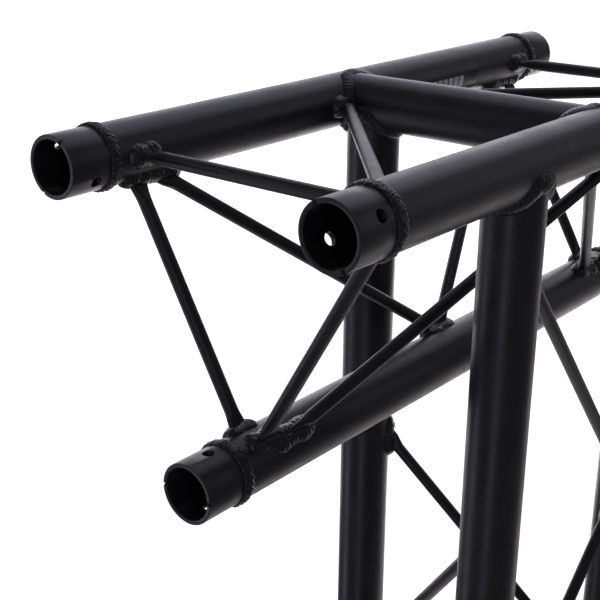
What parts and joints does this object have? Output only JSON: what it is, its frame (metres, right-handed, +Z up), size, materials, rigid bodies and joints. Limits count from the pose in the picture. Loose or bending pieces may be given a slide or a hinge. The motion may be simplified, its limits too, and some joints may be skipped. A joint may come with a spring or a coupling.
{
  "type": "lighting truss section",
  "caption": "Black triangular truss T-piece, apex down, with a triangular leg below its middle, round lacing braces and female end sockets.",
  "frame": {"origin": "middle of the bounding box's bottom face, level with the mouths of the leg's three sockets", "axes": "+X along the through truss towards its right end, +Y across it towards the back top chord, +Z up"},
  "size_m": [0.5, 0.2239, 0.5024],
  "materials": {
    "coated_chord": "satin black powder coat on extruded aluminium tube",
    "coated_socket": "satin black powder coat on turned aluminium",
    "coated_brace": "satin black powder coat on aluminium tube with pressed ends",
    "coated_weld": "satin black powder coat over rippled weld beads",
    "label_foil": "black foil label with a row of plain pale blocks, no lettering"
  },
  "bodies": {
    "root": {"bottom_chord": "coated_chord", "brace_welds_left_arm": "coated_weld", "brace_welds_leg": "coated_weld", "brace_welds_right_arm": "coated_weld", "cross_tube": "coated_chord", "cross_weld_back": "coated_weld", "cross_weld_front": "coated_weld", "left_diagonal_back": "coated_brace", "left_diagonal_top": "coated_brace", "left_end_brace_back": "coated_brace", "left_end_brace_front": "coated_brace", "left_end_brace_top": "coated_brace", "leg_chord_back": "coated_chord", "leg_chord_left": "coated_chord", "leg_chord_right": "coated_chord", "leg_diagonal_left": "coated_brace", "leg_diagonal_right": "coated_brace", "leg_end_brace_front": "coated_brace", "leg_end_brace_left": "coated_brace", "leg_end_brace_right": "coated_brace", "leg_lower_diagonal_front": "coated_brace", "leg_upper_diagonal_front": "coated_brace", "leg_weld_back": "coated_weld", "leg_weld_left": "coated_weld", "leg_weld_right": "coated_weld", "long_diagonal_front": "coated_brace", "right_diagonal_back": "coated_brace", "right_diagonal_front": "coated_brace", "right_diagonal_top": "coated_brace", "right_end_brace_back": "coated_brace", "right_end_brace_front": "coated_brace", "right_end_brace_top": "coated_brace", "socket_left_bottom": "coated_socket", "socket_left_top_back": "coated_socket", "socket_left_top_front": "coated_socket", "socket_leg_back": "coated_socket", "socket_leg_left": "coated_socket", "socket_leg_right": "coated_socket", "socket_right_bottom": "coated_socket", "socket_right_top_back": "coated_socket", "socket_right_top_front": "coated_socket", "socket_welds_left_arm": "coated_weld", "socket_welds_leg": "coated_weld", "socket_welds_right_arm": "coated_weld", "top_chord_back": "coated_chord", "top_chord_front": "coated_chord", "type_label": "label_foil"}
  },
  "joints": []
}
